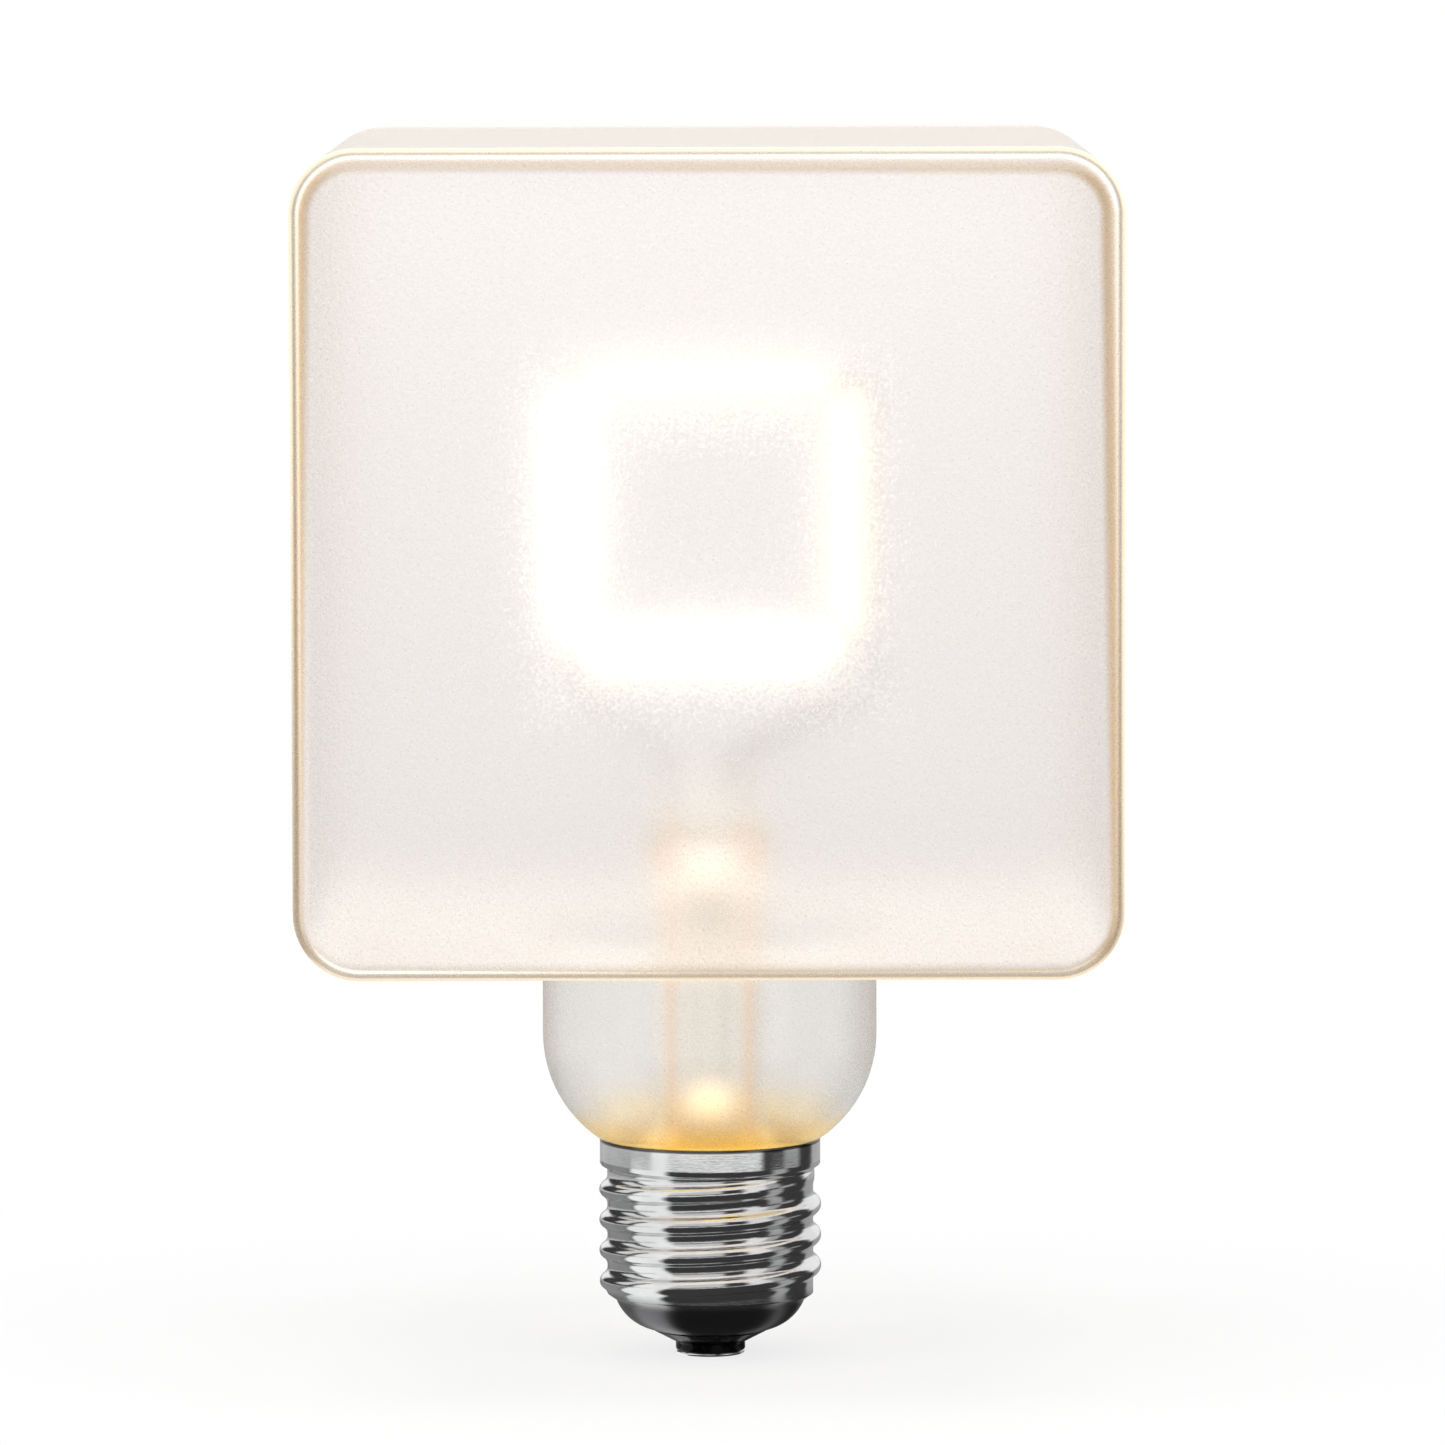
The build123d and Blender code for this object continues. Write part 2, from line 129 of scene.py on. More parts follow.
class Finish:
    # one material, or the world, with the nodes that make its colour, gloss and grain
    def __init__(self, name, owner=None):
        self.owner = owner or bpy.data.materials.new(name)
        self.owner.use_nodes = True
        self.tree = self.owner.node_tree
        self.place = None
        self.parts = {}

    def node(self, kind, settings=None, sockets=None, output=0):
        made = self.tree.nodes.new(kind)
        for key, value in (settings or {}).items():
            setattr(made, key, value)
        for key, value in (sockets or {}).items():
            self.put(made.inputs[key], value)
        return Value(self, made.outputs[output])

    def put(self, socket, value):
        if isinstance(value, Value):
            self.tree.links.new(value.socket, socket)
        else:
            socket.default_value = value

    def shader(self, sockets):
        surface = self.tree.nodes["Principled BSDF"]
        for key, value in sockets.items():
            self.put(surface.inputs[key], value)
        return self.owner

    def glowing(self, colour, strength, sockets):
        # a surface with light of its own, which rays find but which isn't sampled as a lamp
        self.owner.cycles.emission_sampling = "NONE"
        return self.shader({"Emission Color": colour, "Emission Strength": strength, **sockets})

    def point(self):
        # the point being shaded, in metres, in the row frame
        if not self.place:
            self.place = self.node("ShaderNodeTexCoord", output="Object")
        return self.place

    def axis(self, name):
        # X, Y or Z of that point
        if name not in self.parts:
            self.parts[name] = self.node("ShaderNodeSeparateXYZ", sockets={0: self.point()}, output=name)
        return self.parts[name]

    def noise(self, scale, detail, roughness=0.5, stretch=(1, 1, 1)):
        # grain of a given number of lumps to the metre, from 0 to 1
        spread = self.node("ShaderNodeVectorMath", {"operation": "MULTIPLY"}, {0: self.point(), 1: stretch})
        return self.node(
            "ShaderNodeTexNoise",
            sockets={"Vector": spread, "Scale": scale, "Detail": detail, "Roughness": roughness},
        )

    def ramp(self, value, start, end, low=0.0, high=1.0):
        # a soft step from low to high as the value goes from start to end
        return self.node(
            "ShaderNodeMapRange",
            {"interpolation_type": "SMOOTHSTEP"},
            {"Value": value, "From Min": start, "From Max": end, "To Min": low, "To Max": high},
        )

    def nearing(self, value, limit, reach):
        # a soft step up as the value nears a limit, between two distances short of it
        return self.ramp(value, limit - reach[0], limit - reach[1])

    def between(self, value, ends, blurs):
        # 1 between two ends, each of them blurred
        up = self.ramp(value, ends[0] - blurs[0], ends[0] + blurs[0])
        return up * self.ramp(value, ends[1] - blurs[1], ends[1] + blurs[1], 1.0, 0.0)

    def mix(self, share, first, second):
        # two colours, by a share from 0 to 1; 6, 7 and 2 are the colour sockets of the node
        return self.node("ShaderNodeMix", {"data_type": "RGBA"}, {0: share, 6: first, 7: second}, output=2)

    def patches(self, grain, levels, colours):
        # two colours that take turns with the grain, with a soft edge between two of its levels
        return self.mix(self.ramp(grain, *levels), *colours)

    def uneven(self, grain, low, high):
        # roughness that goes from low to high with the grain
        return self.ramp(grain, 0.3, 0.8, low, high)

    def bump(self, height, strength, distance, under=None):
        sockets = {"Height": height, "Strength": strength, "Distance": distance}
        if under:
            sockets["Normal"] = under
        return self.node("ShaderNodeBump", sockets=sockets)


# Mesh maths: a Form gathers rings of points in millimetres and the skins between them

class Form:
    def __init__(self):
        self.points = []
        self.faces = []

    def ring(self, points):
        start = len(self.points)
        self.points += [tuple(point) for point in points]
        return list(range(start, len(self.points)))

    def skin(self, first, second, start=0):
        # faces between two rings, from a given point of theirs on
        count = len(first)
        for i in range(start, count):
            j = (i + 1) % count
            self.faces.append((first[i], first[j], second[j], second[i]))

    def skins(self, rings, start=0):
        for first, second in zip(rings, rings[1:]):
            self.skin(first, second, start)

    def cap(self, ring):
        self.faces.append(tuple(ring))

    def lathe(self, profile, angles):
        # rings of an outline of (radius, height) points about the lamp's axis, skinned in order
        rings = []
        for radius, height in profile:
            rings.append(self.ring([(radius * math.cos(a), radius * math.sin(a), height) for a in angles]))
        self.skins(rings)
        return rings

    def piece(self, name, finish, replaced):
        mesh = bpy.data.meshes.new(name)
        mesh.from_pydata([[c * mm for c in point] for point in self.points], [], self.faces)
        work = bmesh.new()
        work.from_mesh(mesh)
        bmesh.ops.remove_doubles(work, verts=work.verts, dist=0.001 * mm)
        bmesh.ops.recalc_face_normals(work, faces=work.faces)
        for face in work.faces:
            face.smooth = True
        work.to_mesh(mesh)
        work.free()
        mesh.materials.append(finish)
        made = bpy.data.objects.new(name, mesh)
        bpy.context.scene.collection.objects.link(made)
        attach(made, "root")
        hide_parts(*replaced)
        weigh = made.modifiers.new("evenShading", "WEIGHTED_NORMAL")
        weigh.keep_sharp = True


def turns(count):
    return [2 * math.pi * step / count for step in range(count)]


def arc(centre, radius, start, end, steps):
    # points of an arc in the outline's plane, angles in degrees
    angles = [math.radians(start + (end - start) * step / steps) for step in range(steps + 1)]
    return [(centre[0] + radius * math.cos(a), centre[1] + radius * math.sin(a)) for a in angles]


def softStep(value, start, end):
    # from 0 to 1
    part = min(1.0, max(0.0, (value - start) / (end - start)))
    return part * part * (3 - 2 * part)


# Glass envelope: an outer and an inner skin, joined at the end that sits in the cap

glass = {
    "wall": 1.1,
    "corner": 7.6,            # round of the outline seen from the front
    "rim": 2.4,               # round of the edges of front and back
    "cornerSteps": 14,
    "rimSteps": 8,
    "rowsAcross": 24,
    "rowsDeep": 26,
    "bottomRings": 5,
    "edgeRow": 0.4,           # narrow row beside each round, which keeps the flats even
    "neckRadius": 19.65,
    "neckBlend": 3.0,
    "neckStraight": 4.0,
    "blendSteps": 8,
    "bowlRadius": 14.8,
    "bowlHeight": 38.0,       # of the bowl's centre
    "bowlSteps": 16,
    "seat": 25.85,            # height at which the bowl turns in over the cap
    "seatFall": 0.02,
    "endRadius": 12.1,
    "bending": 1.45,          # index of refraction, of the stem's glass too
}


def cubeSkin(form, inset):
    # the cube without the round hole in its floor; gives back the hole's edge
    low, high = sizeOf("glass_envelope")
    half = high.x - inset
    floor = high.z - (high.x - low.x) + inset
    roof = high.z - inset
    corner = glass["corner"] - inset
    rim = glass["rim"] - inset
    straight = half - corner
    deep = half - rim
    across = [straight * (2 * step / glass["rowsAcross"] - 1) for step in range(glass["rowsAcross"] + 1)]
    rows = [deep * (2 * step / glass["rowsDeep"] - 1) for step in range(glass["rowsDeep"] + 1)]
    rows = [rows[0], rows[0] + glass["edgeRow"]] + rows[1:-1] + [rows[-1] - glass["edgeRow"], rows[-1]]
    right = [(straight, floor + corner), (straight, roof - corner)]
    left = [(-straight, roof - corner), (-straight, floor + corner)]

    def outline(shrink):
        # X and Z round the cube, from the floor's left end anticlockwise seen from the front
        points = [(x, floor + shrink) for x in across]
        for number, centre in enumerate(right + left):
            start = 90 * number - 90
            points += arc(centre, corner - shrink, start, start + 90, glass["cornerSteps"])
        return points[:-1]

    rings = [form.ring([(x, y, z) for x, z in outline(0)]) for y in rows]
    floorSpan = len(across) - 1
    form.skins(rings, floorSpan)
    for sign, ring in ((-1, rings[0]), (1, rings[-1])):
        last = ring
        for step in range(1, glass["rimSteps"] + 1):
            angle = math.radians(90 * step / glass["rimSteps"])
            y = sign * (deep + rim * math.sin(angle))
            made = form.ring([(x, y, z) for x, z in outline(rim * (1 - math.cos(angle)))])
            form.skin(last, made)
            last = made
        inner = form.ring([(x, sign * half, z) for x, z in outline(rim + glass["edgeRow"])])
        form.skin(last, inner)
        form.cap(inner)

    # the floor: rings that go from its rectangle to the neck's circle
    edge = list(rings[0][: floorSpan + 1])
    edge += [ring[floorSpan] for ring in rings[1:]]
    edge += reversed(rings[-1][:floorSpan])
    edge += [ring[0] for ring in reversed(rings[1:-1])]
    outer = [form.points[index] for index in edge]
    angles = [math.atan2(y, x) for x, y, z in outer]
    hole = glass["neckRadius"] + glass["neckBlend"]
    last = edge
    for step in range(1, glass["bottomRings"] + 1):
        part = step / glass["bottomRings"]
        points = []
        for (x, y, z), a in zip(outer, angles):
            points.append((x + (hole * math.cos(a) - x) * part, y + (hole * math.sin(a) - y) * part, z))
        made = form.ring(points)
        form.skin(last, made)
        last = made
    return last, angles


def neckOutline(inset):
    # (radius, height) from the cube's floor down to the end in the cap
    low, high = sizeOf("glass_envelope")
    floor = high.z - (high.x - low.x)
    blend = glass["neckBlend"]
    neck = glass["neckRadius"]
    bowl = glass["bowlRadius"] - inset
    centre = (neck - glass["bowlRadius"], glass["bowlHeight"])
    points = arc((neck + blend, floor - blend), blend + inset, 90, 180, glass["blendSteps"])[1:]
    points += [(neck - inset, floor - blend - glass["neckStraight"])]
    if inset:
        end = glass["endRadius"] - inset
        foot = math.degrees(math.asin((end - centre[0]) / bowl)) - 90
        points += arc(centre, bowl, 0, foot, glass["bowlSteps"])
        return points + [(end, low.z)]
    foot = -math.degrees(math.asin((centre[1] - glass["seat"]) / bowl))
    points += arc(centre, bowl, 0, foot, glass["bowlSteps"])
    end = glass["endRadius"]
    halfway = (points[-1][0] + end) / 2
    return points + [(halfway, glass["seat"] - glass["seatFall"]), (end, glass["seat"]), (end, low.z)]


def glassEnvelope():
    form = Form()
    ends = []
    for inset in (0, glass["wall"]):
        hole, angles = cubeSkin(form, inset)
        rings = form.lathe(neckOutline(inset), angles)
        form.skin(hole, rings[0])
        ends.append(rings[-1])
    form.skin(ends[0], ends[1])
    form.piece("frostedCube", frostedGlass(), ["glass_envelope"])


frost = {
    "tint": (0.955, 0.935, 0.93, 1),
    "lowTint": (0.953, 0.932, 0.918, 1),     # close to the cube's floor
    "lowReach": (0.001, 0.014),
    # painted shade: the neck's glass a little darker and warmer than the cube's
    "shadedNeckTint": (0.95, 0.93, 0.91, 1),
    "softEdge": (0.0006, 0.0002),            # where the neck begins, and the outermost skin
    "litBandTint": (0.96, 0.925, 0.86, 1),      # painted light: the rims' outer band, tinted warm cream as if lit from inside the wall
    "edgeReach": (0.0003, 0.0006),
    "rimReach": (0.003, 0.0024),             # where the rims begin, in from front and back
    "shadeLineTint": (0.8, 0.65, 0.48, 1),        # painted shade: the thin dark line inside each edge, where the rounded rim bends the light
    "lineIn": (0.0013, 0.00025, 0.0007),     # its depth, and how that grows to the right and upward
    "lineWidth": (0.0001, 0.0012),
    "lineFade": (0.004, 0.001),              # where the line gives way, in from top and bottom
    "topLine": 0.4,                          # how much of it is left there
    "bottomLine": 0.2,
    "lit": (0.09, 0.087, 0.083, 1),          # light that the frost scatters, all over
    "litLow": (0.08, 0.076, 0.071, 1),
    "litNeck": (0.092, 0.092, 0.089, 1),
    "litNeckSide": (0.05, 0.041, 0.031, 1),
    "neckSide": (0.0165, 0.0197),            # out from the lamp's axis
    "litLine": (0.03, 0.018, 0.008, 1),      # on the thin line
    "litEdge": (0.6, 0.48, 0.31, 1),         # and at the rims, where the wall lets it out
    "litSide": (0.095, 0.07, 0.042, 1),      # on the walls between front and back
    "litWall": (0.03, 0.026, 0.02, 1),       # on those at the left and right, away from the rims
    "wallDepth": (0.0016, 0.0012),
    "wallReach": (0.004, 0.022),
    "litSpray": (0.19, 0.182, 0.155, 1),     # in fine dots round the bars
    "sprayFall": 25.0,                       # how fast the dots get fewer, to the metre
    "sprayLevels": (0.41, 0.48),
    "barReach": 0.0015,                      # from a bar's outer side to its middle
    "litAmber": (0.28, 0.175, 0.05, 1),      # and just over the cap
    "amberTint": (0.93, 0.71, 0.2, 1),
    "amberReach": (0.0002, 0.0048),
    "amberShare": (1.25, 0.35),              # of the amber light, in the middle and at the sides
    "amberSides": (0.003, 0.01),
    "grain": (2400, 3.0, 0.65),              # lumps to the metre, detail and roughness
    "roughness": (0.18, 0.3),
    "bump": (0.3, 0.00005),                  # strength and depth
    "edgeBump": 0.3,                         # how much of it is left at the outline
    "bumpReach": (0.001, 0.003),
}


def shadedRimLine(look, rim, edge, up, side):
    # painted shade: the thin dark line inside the outline, fainter along the top and the bottom
    depth, toRight, toTop = frost["lineIn"]
    start, end = frost["lineFade"]
    middle = depth + look.axis("X") * (toRight / side) + up * (toTop / side)
    shadeLine = rim * look.ramp((edge - middle).size(), *frost["lineWidth"], 1.0, 0.0)
    shadeLine = shadeLine * look.ramp(up, side - start, side - end, 1.0, frost["topLine"])
    return shadeLine * look.ramp(up, end - side, start - side, frost["bottomLine"], 1.0)


def spray(look, grain, deep, side):
    # fine lit dots round the square of bars, on the outermost skin of front and back
    left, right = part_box("filament_left")[0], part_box("filament_right")[1]
    bottom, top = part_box("filament_bottom")[0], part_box("filament_top")[1]
    beside = (look.axis("X") - (left.x + right.x) / 2).size() - (right.x - left.x) / 2
    below = (look.axis("Z") - (bottom.z + top.z) / 2).size() - (top.z - bottom.z) / 2
    fromBars = (beside.atLeast(below) + frost["barReach"]).size()
    dots = look.ramp(grain - fromBars * frost["sprayFall"], *frost["sprayLevels"])
    return dots * look.nearing(deep, side, frost["softEdge"])


def frostedGlass():
    look = Finish("frostedGlass")
    low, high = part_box("glass_envelope")
    side = (high.x - low.x) / 2
    floor = high.z - 2 * side
    corner = glass["corner"] * mm
    height = look.axis("Z")
    up = height - (floor + side)
    wide = look.axis("X").size()
    deep = look.axis("Y").size()

    # where on the glass the point is: edge is its depth from the outline seen from the front
    across = (wide - (side - corner)).atLeast(0)
    upright = (up.size() - (side - corner)).atLeast(0)
    edge = corner - (across * across + upright * upright).root()
    rim = look.nearing(deep, side, frost["rimReach"])
    # painted shade: a thin dark line inside the outline, in the tint and the glow
    shadeLine = shadedRimLine(look, rim, edge, up, side)
    outer = look.ramp(edge, *frost["edgeReach"], 1.0, 0.0)
    # painted light: the rims' outer band gets a warm cream tint and the light let out at the rims
    litBand = rim * outer
    amber = look.ramp(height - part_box("screw_shell")[1].z, *frost["amberReach"], 1.0, 0.0)
    lowDown = look.ramp(height - floor, *frost["lowReach"], 1.0, 0.0)
    neck = 1 - look.nearing(height, floor, frost["softEdge"])
    wall = look.nearing(wide, side, frost["wallDepth"]) * look.ramp(side - deep, *frost["wallReach"])

    tint = look.mix(lowDown, frost["tint"], frost["lowTint"])
    # painted shade: the neck tinted a little darker and warmer
    tint = look.mix(neck, tint, frost["shadedNeckTint"])
    tint = look.mix(litBand, tint, frost["litBandTint"])
    tint = look.mix(shadeLine, tint, frost["shadeLineTint"])
    tint = look.mix(amber, tint, frost["amberTint"])

    lit = look.mix(lowDown, frost["lit"], frost["litLow"])
    lit = look.mix(outer, lit, frost["litSide"])
    litNeck = look.mix(look.ramp(wide, *frost["neckSide"]), frost["litNeck"], frost["litNeckSide"])
    lit = look.mix(neck, lit, litNeck)
    lit = look.mix(wall, lit, frost["litWall"])
    lit = look.mix(litBand, lit, frost["litEdge"])
    lit = look.mix(shadeLine, lit, frost["litLine"])
    amberShare = look.ramp(wide, *frost["amberSides"], *frost["amberShare"])
    lit = look.mix(amber * amberShare, lit, frost["litAmber"])
    grain = look.noise(*frost["grain"])
    lit = look.mix(spray(look, grain, deep, side), lit, frost["litSpray"])
    bumpShare = look.ramp(edge, *frost["bumpReach"], frost["edgeBump"], 1.0)
    return look.glowing(
        lit,
        1.0,
        {
            "Base Color": tint,
            "Roughness": look.ramp(grain, 0.2, 0.8, *frost["roughness"]),
            "Transmission Weight": 1.0,
            "IOR": glass["bending"],
            "Normal": look.bump(grain * bumpShare, *frost["bump"]),
        },
    )


# Filaments: coated bars, lit

filament = {
    "steps": 30,
    "around": 24,
    "endRound": 14,           # the higher, the shorter the rounded ends
    "endShare": 0.3,          # thickness that is left at the very end
    "square": 0.7,            # 1 is a round bar, less is squarer
    "strength": 3.4,
    "dim": 0.36,              # the top and right bars, as a share of the others
    "white": (1.0, 0.95, 0.86, 1),
    "warm": (1.0, 0.93, 0.76, 1),
    "chip": (1, 0.97, 0.9, 1),
    "chipShare": 0.35,
    "chips": 26,
    "coat": ((0.95, 0.75, 0.3, 1), (0.9, 0.68, 0.25, 1)),
}


def squared(value):
    # rounds a circle towards a rounded rectangle
    return math.copysign(abs(value) ** filament["square"], value)


def filamentBars():
    for side in ("bottom", "top", "left", "right"):
        node = "filament_" + side
        low, high = sizeOf(node)
        middle = (low + high) / 2
        reach = (high - low) / 2
        along = 0 if reach.x > reach.z else 2
        across = 2 - along
        form = Form()
        rings = []
        for step in range(filament["steps"] + 1):
            part = 2 * step / filament["steps"] - 1
            thick = (1 - abs(part) ** filament["endRound"]) ** 0.5
            if abs(part) == 1:
                thick = filament["endShare"]
            ring = []
            for angle in turns(filament["around"]):
                point = list(middle)
                point[along] += reach[along] * part
                point[across] += reach[across] * thick * squared(math.cos(angle))
                point[1] += reach.y * thick * squared(math.sin(angle))
                ring.append(point)
            rings.append(form.ring(ring))
        form.skins(rings)
        form.cap(rings[0])
        form.cap(rings[-1])
        warm = side in ("top", "right")
        form.piece("lit_" + side, litCoating(side, along, warm), [node])


def litCoating(side, along, warm):
    look = Finish("litCoating_" + side)
    colour = filament["warm"] if warm else filament["white"]
    low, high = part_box("filament_" + side)
    turn = look.axis("XYZ"[along]) * (filament["chips"] * 2 * math.pi / (high[along] - low[along]))
    chips = look.ramp(turn.math("SINE"), -1, 1, 0.0, filament["chipShare"])
    return look.glowing(
        look.mix(chips, colour, filament["chip"]),
        filament["strength"] * (filament["dim"] if warm else 1.0),
        {"Base Color": look.patches(look.noise(3000, 2.0), (0.3, 0.7), filament["coat"]), "Roughness": 0.6},
    )


# Screw shell: turned sheet with a right-hand rolled thread

shell = {
    "crest": 13.1,
    "root": 12.15,
    "pitch": 3.629,
    "rootFlat": 0.2,
    "rightCrest": 6.8,        # height of a crest on the right-hand side
    "fadeIn": (0.15, 0.55),   # turns over which the thread starts, and ends
    "fadeOut": (3.6, 4.15),
    "lowFade": (-0.9, 0.6),   # about the root's lower end
    "sheet": 0.3,
    "collarIn": 0.1,          # the collar is this much inside the crests
    "collarHeight": 3.15,
    "collarStep": 0.5,        # from the thread's root out to the collar
    "collarRound": ((-0.12, -0.06), (0.0, 0.12)),
    "collarRows": (0.2, 0.5, 0.8, 0.93),
    "innerStep": 0.35,        # the same step on the inside, below the collar
    "innerEase": 0.15,        # how far the inner bends stand over the outer ones
    "rimRound": 0.15,
    "footRadius": 7.0,
    "footArc": 5.55,
    "footTop": (11.15, 6.5),
    "footSheet": (-0.22, 0.2),     # inner points of the foot, from the outer ones
    "footSteps": 14,
    "footStepsInside": 6,
    "rootBottom": 7.2,
    "around": 160,
    "rowsPerPitch": 22,
}


def footProfile(steps):
    # outer points of the turned-in foot, from its lower edge up
    start = Vector((shell["footRadius"], sizeOf("screw_shell")[0].z))
    end = Vector(shell["footTop"])
    across = end - start
    back = math.sqrt(shell["footArc"] ** 2 - (across.length / 2) ** 2)
    centre = (start + end) / 2 + Vector((-across.y, across.x)).normalized() * back
    first = math.degrees(math.atan2(start.y - centre.y, start.x - centre.x))
    last = math.degrees(math.atan2(end.y - centre.y, end.x - centre.x))
    return arc(centre, shell["footArc"], first, last, steps)


def knuckle(offset):
    # height of the thread over its root, at a distance from the crest line along the axis
    depth = shell["crest"] - shell["root"]
    half = (shell["pitch"] - shell["rootFlat"]) / 2
    radius = (depth**2 + half**2) / (4 * depth)
    reach = abs(offset)
    if reach < half / 2:
        return depth - radius + math.sqrt(radius**2 - reach**2)
    if reach < half:
        return radius - math.sqrt(radius**2 - (half - reach) ** 2)
    return 0.0


def threadHeight(angle, height):
    # angle in turns from the right-hand side
    phase = (height - shell["rightCrest"]) / shell["pitch"] - angle
    nearest = round(phase)
    turn = angle + nearest
    fadeIn = (turn - shell["fadeIn"][0]) / (shell["fadeIn"][1] - shell["fadeIn"][0])
    fadeOut = (shell["fadeOut"][1] - turn) / (shell["fadeOut"][1] - shell["fadeOut"][0])
    part = softStep(min(fadeIn, fadeOut), 0, 1)
    low = softStep(height - shell["rootBottom"], *shell["lowFade"])
    return knuckle((phase - nearest) * shell["pitch"]) * part * low


def shellOutside():
    # (radius, height) from the foot up to the collar's rim, without the thread
    high = sizeOf("screw_shell")[1]
    collar = high.x - shell["collarIn"]
    collarLow = high.z - shell["collarHeight"]
    bottom = shell["rootBottom"]
    rise = collarLow - shell["collarStep"] - bottom
    rows = int(rise / shell["pitch"] * shell["rowsPerPitch"])
    curve = shell["rimRound"]
    points = footProfile(shell["footSteps"])
    points += [(shell["root"], bottom + rise * row / rows) for row in range(rows + 1)]
    points += [(collar + across, collarLow + up) for across, up in shell["collarRound"]]
    points += [(collar, collarLow + shell["collarHeight"] * part) for part in shell["collarRows"]]
    return points + arc((collar - curve, high.z - curve), curve, 20, 160, 5)


def shellInside():
    # and down again on the inside
    high = sizeOf("screw_shell")[1]
    sheet = shell["sheet"]
    collar = high.x - shell["collarIn"] - sheet
    collarLow = high.z - shell["collarHeight"]
    root = shell["root"] - sheet
    across, up = shell["footSheet"]
    points = [(collar, high.z - sheet), (collar, collarLow + shell["innerEase"])]
    points += [(root, collarLow - shell["innerStep"]), (root, shell["rootBottom"] + shell["innerEase"])]
    foot = reversed(footProfile(shell["footStepsInside"]))
    return points + [(radius + across, height + up) for radius, height in foot]


def shellBody():
    collarLow = sizeOf("screw_shell")[1].z - shell["collarHeight"]
    form = Form()
    outside = shellOutside()
    rings = []
    for index, (radius, height) in enumerate(outside + shellInside()):
        threaded = index < len(outside) and height < collarLow
        ring = []
        for angle in turns(shell["around"]):
            lift = threadHeight(angle / (2 * math.pi), height) if threaded else 0.0
            reach = radius + lift
            ring.append((reach * math.cos(angle), reach * math.sin(angle), height))
        rings.append(form.ring(ring))
    form.skins(rings)
    form.skin(rings[-1], rings[0])
    form.piece("threadedCap", nickelPlate(), ["screw_shell"])


nickel = {
    "plate": ((0.75, 0.755, 0.755, 1), (0.66, 0.665, 0.67, 1)),
    "rim": (0.12, 0.115, 0.11, 1),           # painted shadow: a dark line at the collar's rim, under the glass's end
    "rimReach": (0.0005, 0.0003),
    "foot": (0.15, 0.15, 0.155, 1),
    "footReach": (0.003, 0.0055),
    "footRoughness": 0.24,                   # more than elsewhere
    "roughness": (0.09, 0.18),
}


def nickelPlate():
    look = Finish("nickelPlate")
    height = look.axis("Z")
    low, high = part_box("screw_shell")
    foot = look.ramp(height - low.z, *nickel["footReach"], 1.0, 0.0)
    cloud = look.noise(220, 4.0)
    rub = look.noise(900, 4.0, 0.6, (1, 1, 8))
    plate = look.patches(cloud, (0.35, 0.7), nickel["plate"])
    # painted shadow: the dark line along the collar's rim
    plate = look.mix(look.nearing(height, high.z, nickel["rimReach"]), plate, nickel["rim"])
    return look.shader(
        {
            "Base Color": look.mix(foot, plate, nickel["foot"]),
            "Metallic": 1.0,
            "Roughness": look.uneven(rub, *nickel["roughness"]) + foot * nickel["footRoughness"],
            "Normal": look.bump(rub, 0.08, 0.00008, look.bump(cloud, 0.1, 0.0003)),
        }
    )


# Insulator and centre contact under the cap

base = {
    "boss": 4.1,
    "bossTop": 1.2,           # where its side ends and the fillet begins
    "bossEdge": 0.25,
    "bossFillet": 0.3,
    "bore": 1.6,
    "boreTop": 3.2,
    "hollow": 6.0,            # radius of the hollow above the bore
    "footSeat": ((-0.25, -0.22), (-0.05, -0.02), (-0.25, 0.25)),     # from the shell's lower edge
    "shoulder": ((-1.6, -1.2), (-0.4, 0.0)),                         # from the widest and highest point
    "contact": 4.0,
    "contactThick": 0.4,
    "contactEdge": 0.15,
    "eyelet": 0.9,
    "eyeletRound": 0.3,
    "eyeletRow": 0.35,
    "around": 96,
    "blackGlass": ((0.002, 0.002, 0.002, 1), (0.012, 0.012, 0.013, 1)),
    "contactMetal": ((0.75, 0.74, 0.72, 1), (0.6, 0.59, 0.57, 1)),
}


def insulatorBody():
    low, high = sizeOf("insulator")
    boss = base["boss"]
    edge = base["bossEdge"]
    fillet = base["bossFillet"]
    foot = footProfile(1)[0]
    profile = [(base["bore"], low.z)]
    profile += arc((boss - edge, low.z + edge), edge, -90, 0, 4)
    profile += arc((boss + fillet, base["bossTop"]), fillet, 180, 120, 3)
    profile += [(foot[0] + across, foot[1] + up) for across, up in base["footSeat"]]
    profile += [(high.x + across, high.z + up) for across, up in base["shoulder"]]
    profile += [(base["hollow"], base["boreTop"]), (base["bore"], base["boreTop"])]
    form = Form()
    rings = form.lathe(profile, turns(base["around"]))
    form.skin(rings[-1], rings[0])
    form.piece("footGlass", blackGlass(), ["insulator"])


def contactDisc():
    reach = base["contact"]
    edge = base["contactEdge"]
    hole = base["eyelet"]
    fillet = base["eyeletRound"]
    thick = base["contactThick"]
    profile = [(hole, base["boreTop"]), (hole, base["eyeletRow"])]
    profile += arc((hole + fillet, fillet), fillet, 180, 270, 4)
    profile += arc((reach - edge, edge), edge, -90, 0, 4)
    profile += [(reach, thick), (base["bore"], thick), (base["bore"], base["boreTop"])]
    form = Form()
    rings = form.lathe(profile, turns(base["around"]))
    form.skin(rings[-1], rings[0])
    form.piece("contactDisc", contactMetal(), ["centre_contact"])


def blackGlass():
    look = Finish("blackGlass")
    dust = look.noise(700, 4.0, 0.65)
    return look.shader(
        {
            "Base Color": look.patches(dust, (0.45, 0.75), base["blackGlass"]),
            "Roughness": look.uneven(dust, 0.12, 0.3),
            "Specular IOR Level": 0.1,
            "Normal": look.bump(look.noise(120, 2.0), 0.2, 0.0004),
        }
    )


